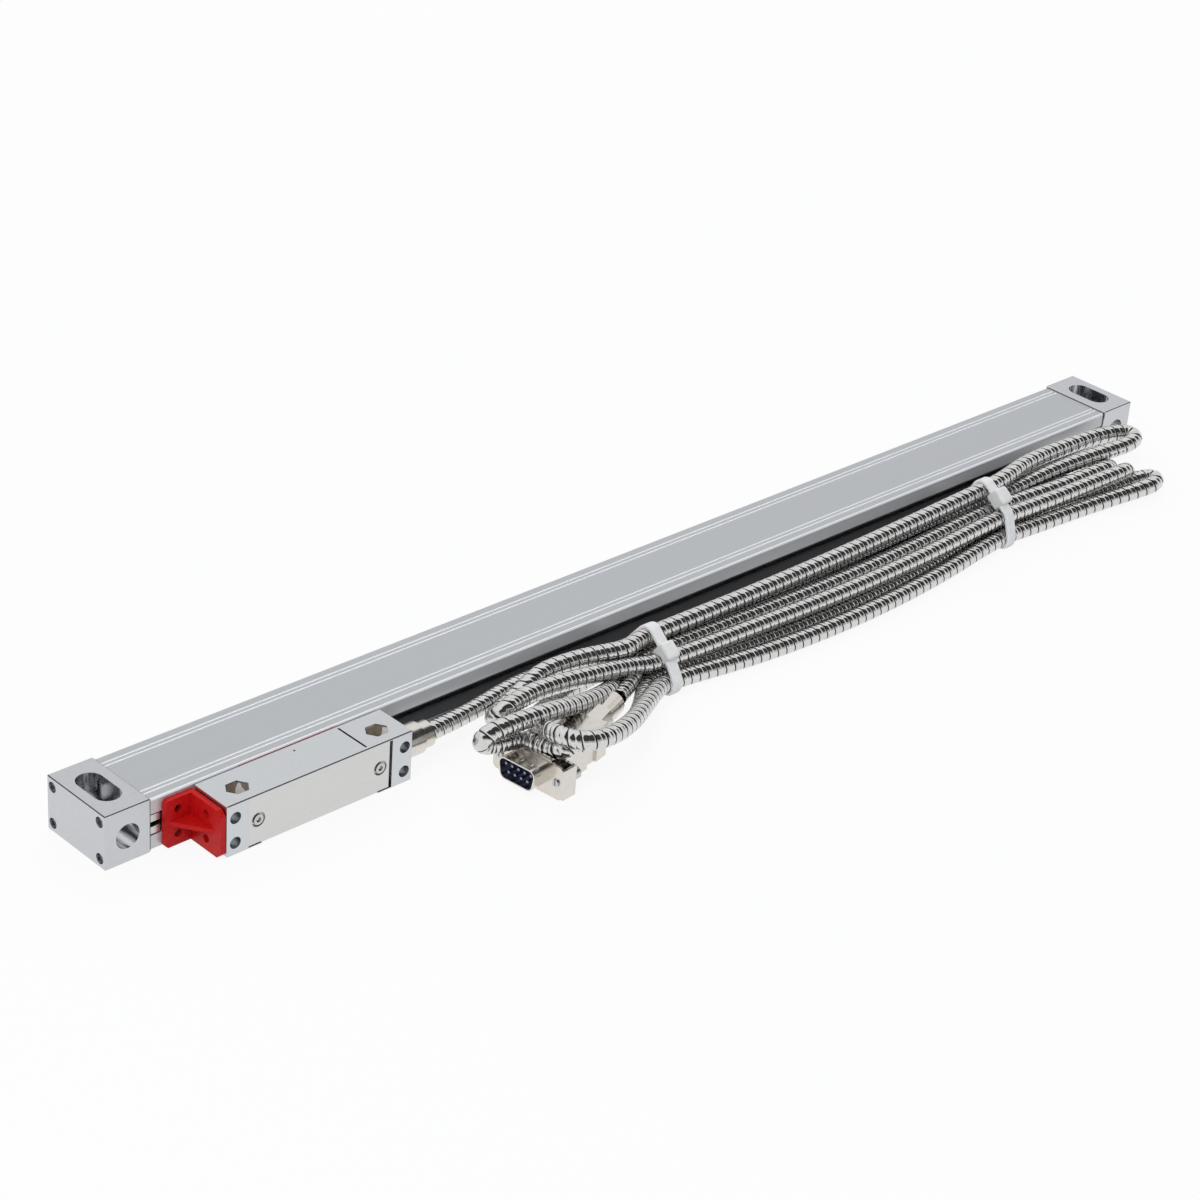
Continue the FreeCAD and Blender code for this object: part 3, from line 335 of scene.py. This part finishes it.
# Cable ties
def hull(points):
    """The outline round flat points, without those inside it."""
    points = sorted(set(points))
    outline = []
    for run in (points, points[::-1]):
        part = []
        for p in run:
            while len(part) > 1 and ((part[-1][0] - part[-2][0]) * (p[1] - part[-2][1])
                                     - (part[-1][1] - part[-2][1]) * (p[0] - part[-2][0])) <= 0:
                part.pop()
            part.append(p)
        outline += part[:-1]
    return outline


def tie_outline(hose_places, start_x, extra):
    """The line round all the hose that crosses the tie's middle, as (y, z) in millimetres."""
    middle = start_x + TIE_WIDTH / 2
    lowest = TIE_LOWEST + extra - TIE_CLEARANCE
    reach = HOSE_DIAMETER / 2 + extra
    ring = []
    places = [Vector(p) * 1000 + STATION for p in hose_places]
    for a, b in zip(places, places[1:]):
        if (a.x - middle) * (b.x - middle) <= 0 and a.x != b.x:
            crossing = a.lerp(b, (middle - a.x) / (b.x - a.x))
            for i in range(STRAND_SIDES):
                angle = 2 * math.pi * i / STRAND_SIDES
                ring.append((round(crossing.y + reach * math.cos(angle), 4),
                             max(round(crossing.z + reach * math.sin(angle), 4), lowest)))
    return hull(ring)


def resample(outline, count):
    """Points at the same directions round the outline's middle, so that two outlines pair up."""
    middle_y = sum(p[0] for p in outline) / len(outline)
    middle_z = sum(p[1] for p in outline) / len(outline)
    result = []
    for i in range(count):
        angle = 2 * math.pi * i / count
        ray = (math.cos(angle), math.sin(angle))
        reaches = []
        for p, q in zip(outline, outline[1:] + outline[:1]):
            edge = (q[0] - p[0], q[1] - p[1])
            cross = ray[0] * edge[1] - ray[1] * edge[0]
            if abs(cross) < PARALLEL:
                continue
            offset = (p[0] - middle_y, p[1] - middle_z)
            reach = (offset[0] * edge[1] - offset[1] * edge[0]) / cross
            share = (offset[0] * ray[1] - offset[1] * ray[0]) / cross
            if reach > 0 and -EDGE_SLACK <= share <= 1 + EDGE_SLACK:
                reaches.append(reach)
        result.append((middle_y + max(reaches) * ray[0], middle_z + max(reaches) * ray[1]))
    return result


def rounded_corners(half_x, half_along):
    """The outline of a rectangle with rounded corners."""
    outline = []
    for quarter, (sign_x, sign_along) in enumerate(((1, 1), (-1, 1), (-1, -1), (1, -1))):
        for step in range(LOCK_CORNER_POINTS):
            angle = math.pi / 2 * (quarter + step / (LOCK_CORNER_POINTS - 1))
            outline.append((sign_x * (half_x - LOCK_CORNER) + LOCK_CORNER * math.cos(angle),
                            sign_along * (half_along - LOCK_CORNER) + LOCK_CORNER * math.sin(angle)))
    return outline


def tie_lock(inner, start_x, first):
    """The tie's lock: a block with rounded corners and a rounded top on the bundle's sloping side."""
    out_y, out_z = LOCK_OUT
    rests = [max(inner, key=lambda p: p[0] * side[0] + p[1] * side[1]) for side in LOCK_RESTS]
    base_y = sum(rest[0] for rest in rests) / len(rests)
    base_z = sum(rest[1] for rest in rests) / len(rests)
    middle_x = start_x + TIE_WIDTH / 2 + TIE_SLANT * base_z
    vertices = []
    for height, inset in LOCK_LEVELS:
        for x, along in rounded_corners(LOCK_WIDTH / 2 - inset, LOCK_LENGTH / 2 - inset):
            vertices.append(at(middle_x + x, base_y + out_z * along + out_y * height,
                               base_z - out_y * along + out_z * height))
    ring = 4 * LOCK_CORNER_POINTS
    top = first + (len(LOCK_LEVELS) - 1) * ring
    faces = []
    for start in range(first, top, ring):
        for j in range(ring):
            a = start + j
            b = start + (j + 1) % ring
            faces.append((a, b, b + ring, a + ring))
    faces.append(tuple(top + j for j in range(ring)))
    faces.append(tuple(first + j for j in reversed(range(ring))))
    return vertices, faces


def cable_tie(name, start_x, node, hose_places):
    """A band pulled round the strands that lie in it, with its lock."""
    inner_outline = tie_outline(hose_places, start_x, TIE_CLEARANCE)
    outer_outline = tie_outline(hose_places, start_x, TIE_CLEARANCE + TIE_THICKNESS)
    inner = resample(inner_outline, TIE_POINTS)
    outer = resample(outer_outline, TIE_POINTS)
    vertices = []
    for (inner_y, inner_z), (outer_y, outer_z) in zip(inner, outer):
        for share, x in TIE_SECTION:
            z = inner_z + (outer_z - inner_z) * share
            vertices.append(at(start_x + x + TIE_SLANT * z, inner_y + (outer_y - inner_y) * share, z))
    ring = len(TIE_SECTION)
    faces = []
    for i in range(TIE_POINTS):
        after = (i + 1) % TIE_POINTS
        for j in range(ring):
            beside = (j + 1) % ring
            faces.append((i * ring + j, i * ring + beside, after * ring + beside, after * ring + j))
    lock_vertices, lock_faces = tie_lock(inner_outline, start_x, len(vertices))
    band = mesh_piece(name, vertices + lock_vertices, faces + lock_faces, "reading_head", smooth=False)
    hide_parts(node)
    return band


# Nodes that materials and the world share
def math_node(tree, operation, first, second=0.0):
    made = tree.nodes.new("ShaderNodeMath")
    made.operation = operation
    for socket, value in zip(made.inputs, (first, second)):
        if isinstance(value, float):
            socket.default_value = value
        else:
            tree.links.new(value, socket)
    return made.outputs[0]


def product(tree, shares):
    result = shares[0]
    for share in shares[1:]:
        result = math_node(tree, "MULTIPLY", result, share)
    return result


def rise(tree, value, low, high, bottom=0.0, top=1.0):
    """A value that climbs from bottom to top as another goes from low to high."""
    made = tree.nodes.new("ShaderNodeMapRange")
    for name, number in (("From Min", low), ("From Max", high), ("To Min", bottom), ("To Max", top)):
        made.inputs[name].default_value = number
    tree.links.new(value, made.inputs["Value"])
    return made.outputs[0]


def mix_shaders(tree, share, first, second):
    made = tree.nodes.new("ShaderNodeMixShader")
    tree.links.new(share, made.inputs["Fac"])
    tree.links.new(first, made.inputs[1])
    tree.links.new(second, made.inputs[2])
    return made.outputs[0]


# Materials
def material(name, colour, metallic, roughness):
    made = bpy.data.materials.new(name)
    made.use_nodes = True
    sockets = principled(made)
    sockets["Base Color"].default_value = (*colour, 1.0)
    sockets["Metallic"].default_value = metallic
    sockets["Roughness"].default_value = roughness
    return made


def principled(made):
    return made.node_tree.nodes["Principled BSDF"].inputs


def grain(made, scale, stretch=(1, 1, 1), detail=4.0):
    """A noise value in the piece's own coordinates, stretched along an axis for brushed metal."""
    tree = made.node_tree
    place = tree.nodes.new("ShaderNodeTexCoord")
    mapping = tree.nodes.new("ShaderNodeMapping")
    mapping.inputs["Scale"].default_value = stretch
    noise = tree.nodes.new("ShaderNodeTexNoise")
    noise.inputs["Scale"].default_value = scale
    noise.inputs["Detail"].default_value = detail
    tree.links.new(place.outputs["Object"], mapping.inputs["Vector"])
    tree.links.new(mapping.outputs["Vector"], noise.inputs["Vector"])
    return noise.outputs["Fac"]


def vary_colour(made, value, low, high):
    ramp = made.node_tree.nodes.new("ShaderNodeValToRGB")
    for end, position, colour in zip(ramp.color_ramp.elements, COLOUR_SPAN, (low, high)):
        end.position = position
        end.color = (*colour, 1.0)
    made.node_tree.links.new(value, ramp.inputs["Fac"])
    made.node_tree.links.new(ramp.outputs["Color"], principled(made)["Base Color"])


def vary_roughness(made, value, low, high):
    roughness = rise(made.node_tree, value, *ROUGHNESS_SPAN, low, high)
    made.node_tree.links.new(roughness, principled(made)["Roughness"])


def bump(made, value, distance, strength):
    relief = made.node_tree.nodes.new("ShaderNodeBump")
    relief.inputs["Distance"].default_value = distance
    relief.inputs["Strength"].default_value = strength
    made.node_tree.links.new(value, relief.inputs["Height"])
    made.node_tree.links.new(relief.outputs["Normal"], principled(made)["Normal"])


def finish(name, colour, metallic, roughness, noise, colours=None, roughnesses=None, relief=None):
    """A material whose noise varies its colour and roughness and raises its surface."""
    made = material(name, colour, metallic, roughness)
    value = grain(made, *noise)
    if colours:
        vary_colour(made, value, *colours)
    if roughnesses:
        vary_roughness(made, value, *roughnesses)
    if relief:
        bump(made, value, *relief)
    return made


def inside(made, x=(None, None), y=(None, None), z=(None, None)):
    """1 where the piece's own place lies between these station sizes, else 0."""
    tree = made.node_tree
    place = tree.nodes.new("ShaderNodeTexCoord")
    split = tree.nodes.new("ShaderNodeSeparateXYZ")
    tree.links.new(place.outputs["Object"], split.inputs[0])
    tests = []
    for axis, (low, high) in enumerate((x, y, z)):
        if low is not None:
            tests.append(math_node(tree, "GREATER_THAN", split.outputs[axis], level(axis, low)))
        if high is not None:
            tests.append(math_node(tree, "LESS_THAN", split.outputs[axis], level(axis, high)))
    return product(tree, tests)


def paint(made, share, colour, metallic):
    """Another colour, and this much of the metal, where share is 1."""
    tree = made.node_tree
    base = principled(made)["Base Color"]
    mix = tree.nodes.new("ShaderNodeMixRGB")
    tree.links.new(share, mix.inputs["Fac"])
    tree.links.new(base.links[0].from_socket, mix.inputs["Color1"])
    mix.inputs["Color2"].default_value = (*colour, 1.0)
    tree.links.new(mix.outputs["Color"], base)
    metal = principled(made)["Metallic"]
    keep = rise(tree, share, 0.0, 1.0, 1.0, metallic)
    before = metal.links[0].from_socket if metal.is_linked else float(metal.default_value)
    tree.links.new(math_node(tree, "MULTIPLY", keep, before), metal)


def satin_chrome():
    """The end blocks' chrome, with painted shade as a dark line along the top of each outer end."""
    made = finish("satin_chrome", (0.565, 0.575, 0.60), 1.0, 0.2, (500.0,),
                  colours=((0.555, 0.565, 0.59), (0.575, 0.585, 0.61)), roughnesses=(0.16, 0.22))
    bump(made, grain(made, 60.0), 0.00004, 0.25)
    # Painted shade: a dark line along the top edge of each outer end
    for end in OUTER_ENDS:
        paint(made, inside(made, x=end, z=(OUTER_EDGE_BOTTOM, None)), *PAINTED_EDGE_SHADE)
    return made


def drawn_aluminium():
    """The housing's drawn metal, with painted highlights on the groove bevels and front rim and painted
    light on its front face.
    """
    made = finish("drawn_aluminium", (0.46, 0.472, 0.478), 0.45, 0.34, (1500.0, (0.004, 1.0, 1.0), 3.0),
                  colours=((0.45, 0.462, 0.468), (0.47, 0.482, 0.488)), roughnesses=(0.3, 0.4),
                  relief=(0.00001, 0.3))
    # Painted highlights along the groove bevels on top
    for line_y in GROOVE_LINES:
        groove = (line_y - GROOVE_HALF, line_y + GROOVE_HALF)
        paint(made, inside(made, y=groove, z=(GROOVE_BOTTOM, None)), *PAINTED_HIGHLIGHT)
    # Painted light: the housing's front face is made paler than its top
    paint(made, inside(made, y=(None, HOUSING_FRONT)), *PAINTED_FRONT_LIGHT)
    # A painted highlight along the front top rim
    paint(made, inside(made, y=(None, RIM_BACK), z=(RIM_BOTTOM, None)), *PAINTED_HIGHLIGHT)
    return made


def cast_metal():
    """The head's metal, with painted reflections mottling the facets down in its pockets and painted
    shade in marks on its top.
    """
    made = finish("cast_metal", (0.62, 0.64, 0.66), 1.0, 0.3, (700.0,),
                  colours=((0.61, 0.63, 0.65), (0.63, 0.65, 0.67)), roughnesses=(0.28, 0.32))
    # Painted reflections down in the pockets: brown, with pale patches where the noise is high
    facets = grain(made, 260.0, (1.0, 1.0, 0.3), 1.0)
    for x, y in POCKET_PLACES:
        pocket = inside(made, x=(x - POCKET_HALF_X, x + POCKET_HALF_X),
                        y=(y - POCKET_HALF_Y, y + POCKET_HALF_Y), z=(None, POCKET_TOP))
        paint(made, pocket, *POCKET_REFLECTION)
        pale = math_node(made.node_tree, "GREATER_THAN", facets, PALE_REFLECTION_ABOVE)
        paint(made, product(made.node_tree, (pocket, pale)), *PALE_POCKET_REFLECTION)
    # Painted shade on the top: a dark band along the groove at the end block's joint, and a dark dot
    # standing for a small hole
    for shade_x, shade_y in TOP_SHADE_PLACES:
        paint(made, inside(made, x=shade_x, y=shade_y, z=(TOP_SHADE_BOTTOM, None)), *PAINTED_TOP_SHADE)
    return made


def red_coating():
    """The bracket's red, with painted shade on the part that stands behind."""
    made = finish("red_coating", (0.52, 0.006, 0.006), 0.0, 0.45, (900.0,),
                  colours=((0.48, 0.004, 0.004), (0.55, 0.009, 0.009)), relief=(0.00004, 0.35))
    principled(made)["Specular IOR Level"].default_value = 0.2
    # Painted shade on the bracket where it stands behind the head
    paint(made, inside(made, x=(BRACKET_BACK, None)), *PAINTED_RED_SHADE)
    return made


def clear_glass():
    made = finish("clear_glass", (0.86, 0.95, 0.93), 0.0, 0.04, (2500.0, (1.0, 0.01, 0.01)),
                  roughnesses=(0.02, 0.12))
    principled(made)["Transmission Weight"].default_value = 1.0
    return made


def warm_nickel():
    made = finish("warm_nickel", (0.70, 0.67, 0.62), 1.0, 0.2, (500.0,),
                  colours=((0.68, 0.65, 0.60), (0.72, 0.69, 0.64)), roughnesses=(0.17, 0.24))
    bump(made, grain(made, 180.0), 0.00001, 0.2)
    return made


def white_nylon():
    made = finish("white_nylon", (0.80, 0.80, 0.78), 0.0, 0.38, (400.0,),
                  colours=((0.77, 0.77, 0.75), (0.83, 0.83, 0.81)), relief=(0.00005, 0.4))
    principled(made)["Subsurface Weight"].default_value = 0.15
    principled(made)["Subsurface Scale"].default_value = 0.001
    return made


def plain_steel(name, colour, roughness):
    dark = tuple(0.93 * c for c in colour)
    return finish(name, colour, 1.0, roughness, (1600.0,), colours=(dark, colour),
                  roughnesses=(0.8 * roughness, 1.2 * roughness))


def finish_parts():
    """Gives each solid the finish of its material slot, and returns the finishes by slot."""
    finishes = {
        "chromed_block": satin_chrome(),
        "anodised_extrusion": drawn_aluminium(),
        "head_metal": cast_metal(),
        "cover_plate": finish(
            "brushed_plate", (0.66, 0.665, 0.645), 1.0, 0.32, (1800.0, (0.012, 1.0, 1.0), 3.0),
            colours=((0.64, 0.645, 0.625), (0.68, 0.685, 0.665)), roughnesses=(0.26, 0.4),
            relief=(0.000008, 0.4)),
        "black_rubber": finish(
            "black_rubber", (0.058, 0.060, 0.061), 0.0, 0.6, (1400.0,),
            colours=((0.052, 0.054, 0.055), (0.064, 0.066, 0.067)), relief=(0.00003, 0.5)),
        "inlet_steel": plain_steel("insert_steel", (0.66, 0.67, 0.67), 0.3),
        "screw_steel": plain_steel("screw_steel", (0.58, 0.58, 0.58), 0.22),
        "clear_glass": clear_glass(),
        "bonding": finish(
            "soft_compound", (0.70, 0.69, 0.65), 0.0, 0.5, (500.0,), relief=(0.00008, 0.6)),
        "circuit_board": finish(
            "circuit_board", (0.02, 0.16, 0.08), 0.0, 0.35, (700.0, (1.0, 1.0, 1.0), 1.0),
            colours=((0.012, 0.12, 0.06), (0.03, 0.21, 0.11))),
        "spring_steel": plain_steel("spring_steel", (0.5, 0.5, 0.49), 0.25),
        "bearing_steel": plain_steel("bearing_steel", (0.68, 0.68, 0.69), 0.12),
        "red_coating": red_coating(),
        "red_plastic": finish(
            "red_plastic", (0.16, 0.008, 0.012), 0.0, 0.5, (1200.0,), relief=(0.00002, 0.5)),
        "nickel": warm_nickel(),
        "armour": finish(
            "strip_steel", (0.66, 0.655, 0.65), 1.0, 0.12, (900.0,),
            colours=((0.62, 0.615, 0.61), (0.70, 0.695, 0.69)), roughnesses=(0.06, 0.14)),
        "white_nylon": white_nylon(),
        "blue_insulator": finish(
            "blue_insulator", (0.012, 0.03, 0.11), 0.0, 0.32, (900.0,),
            colours=((0.01, 0.025, 0.095), (0.015, 0.036, 0.13))),
        "gold_contact": finish(
            "contact_metal", (0.26, 0.26, 0.28), 1.0, 0.2, (2000.0,), roughnesses=(0.15, 0.28))}
    slot_of = {part["node"]: part["material_slot"] for part in frame["record"]["subparts"]}
    for name, part in frame["nodes"].items():
        part.data.materials.clear()
        part.data.materials.append(finishes[slot_of[name]])
    return finishes


def strip_gap_shade():
    """Painted shade: the dark seam between the hose's turns."""
    return finish("strip_gap_shade", (0.05, 0.047, 0.044), 1.0, 0.4, (1500.0,),
                  colours=((0.035, 0.033, 0.03), (0.07, 0.066, 0.06)), roughnesses=(0.3, 0.5))


# Floor, surroundings and lamps
def camera_share(tree):
    """1 for what the camera sees, directly or through gloss and glass, else 0."""
    path = tree.nodes.new("ShaderNodeLightPath").outputs
    seen = math_node(tree, "MAXIMUM", path["Is Camera Ray"], path["Is Glossy Ray"])
    return math_node(tree, "MAXIMUM", seen, path["Is Transmission Ray"])


def pale_floor():
    corners = ((-1, -1), (1, -1), (1, 1), (-1, 1))
    mesh = bpy.data.meshes.new("floor")
    mesh.from_pydata([(x * FLOOR_HALF, y * FLOOR_HALF, FLOOR_HEIGHT) for x, y in corners], [],
                     [(0, 1, 2, 3)])
    floor = bpy.data.objects.new("floor", mesh)
    bpy.context.scene.collection.objects.link(floor)
    made = material("floor", (0.86, 0.86, 0.86), 0.0, 0.9)
    tree = made.node_tree
    share = math_node(tree, "MULTIPLY", camera_share(tree), FLOOR_GLOW)
    glow = tree.nodes.new("ShaderNodeEmission").outputs[0]
    plain = tree.nodes["Principled BSDF"].outputs[0]
    tree.links.new(mix_shaders(tree, share, plain, glow), tree.nodes["Material Output"].inputs["Surface"])
    mesh.materials.append(made)


def background(tree, colour, strength=1.0):
    made = tree.nodes.new("ShaderNodeBackground")
    made.inputs["Strength"].default_value = strength
    if isinstance(colour, tuple):
        made.inputs["Color"].default_value = (*colour, 1.0)
    else:
        tree.links.new(colour, made.inputs["Color"])
    return made.outputs[0]


def surroundings():
    """A pale wall and ceiling behind, two pale panels at the ends, and a dark room in front."""
    world = bpy.data.worlds.new("studio")
    bpy.context.scene.world = world
    world.use_nodes = True
    tree = world.node_tree
    place = tree.nodes.new("ShaderNodeTexCoord")
    split = tree.nodes.new("ShaderNodeSeparateXYZ")
    tree.links.new(place.outputs["Generated"], split.inputs[0])
    x, y, z = split.outputs
    wall = product(tree, (rise(tree, y, *WALL_FROM),
                          rise(tree, z, *CEILING_FROM, WALL_SHADE, CEILING_SHADE)))
    panels = rise(tree, math_node(tree, "ABSOLUTE", x), *PANEL_FROM, 0.0, PANEL_SHADE)
    room = rise(tree, z, *DARK_ROOM_FROM, LOW_ROOM_SHADE, ROOM_SHADE)
    ground = rise(tree, z, *GROUND_TO, GROUND_SHADE, 0.0)
    seen = wall
    for part in (panels, room, ground):
        seen = math_node(tree, "MAXIMUM", seen, part)
    path = tree.nodes.new("ShaderNodeLightPath").outputs
    gloss = mix_shaders(tree, path["Is Glossy Ray"], background(tree, FILL_COLOUR, FILL_STRENGTH),
                        background(tree, seen))
    clear = mix_shaders(tree, path["Is Camera Ray"], gloss, background(tree, (1.0, 1.0, 1.0)))
    tree.links.new(clear, tree.nodes["World Output"].inputs["Surface"])


def lamps():
    for name, place, size, power in LAMPS:
        lamp = bpy.data.lights.new(name, "AREA")
        lamp.size = size
        lamp.energy = power
        holder = bpy.data.objects.new(name, lamp)
        holder.visible_glossy = False
        holder.location = place
        holder.rotation_euler = (-Vector(place)).to_track_quat("-Z", "Y").to_euler()
        bpy.context.scene.collection.objects.link(holder)


place_camera()
hose_places = spline_points("hose_line", [point for stretch in HOSE_ROUTE.values() for point in stretch])
hose = armoured_hose(hose_places)
tie_left = cable_tie("tie_band_left", TIE_LEFT_X, "cable_tie_left", hose_places)
tie_right = cable_tie("tie_band_right", TIE_RIGHT_X, "cable_tie_right", hose_places)
finishes = finish_parts()
hose.data.materials.append(finishes["armour"])
# The seam's dark metal is painted shade
hose.data.materials.append(strip_gap_shade())
tie_left.data.materials.append(finishes["white_nylon"])
tie_right.data.materials.append(finishes["white_nylon"])
pale_floor()
surroundings()
lamps()

bpy.context.scene.view_settings.view_transform = "Standard"
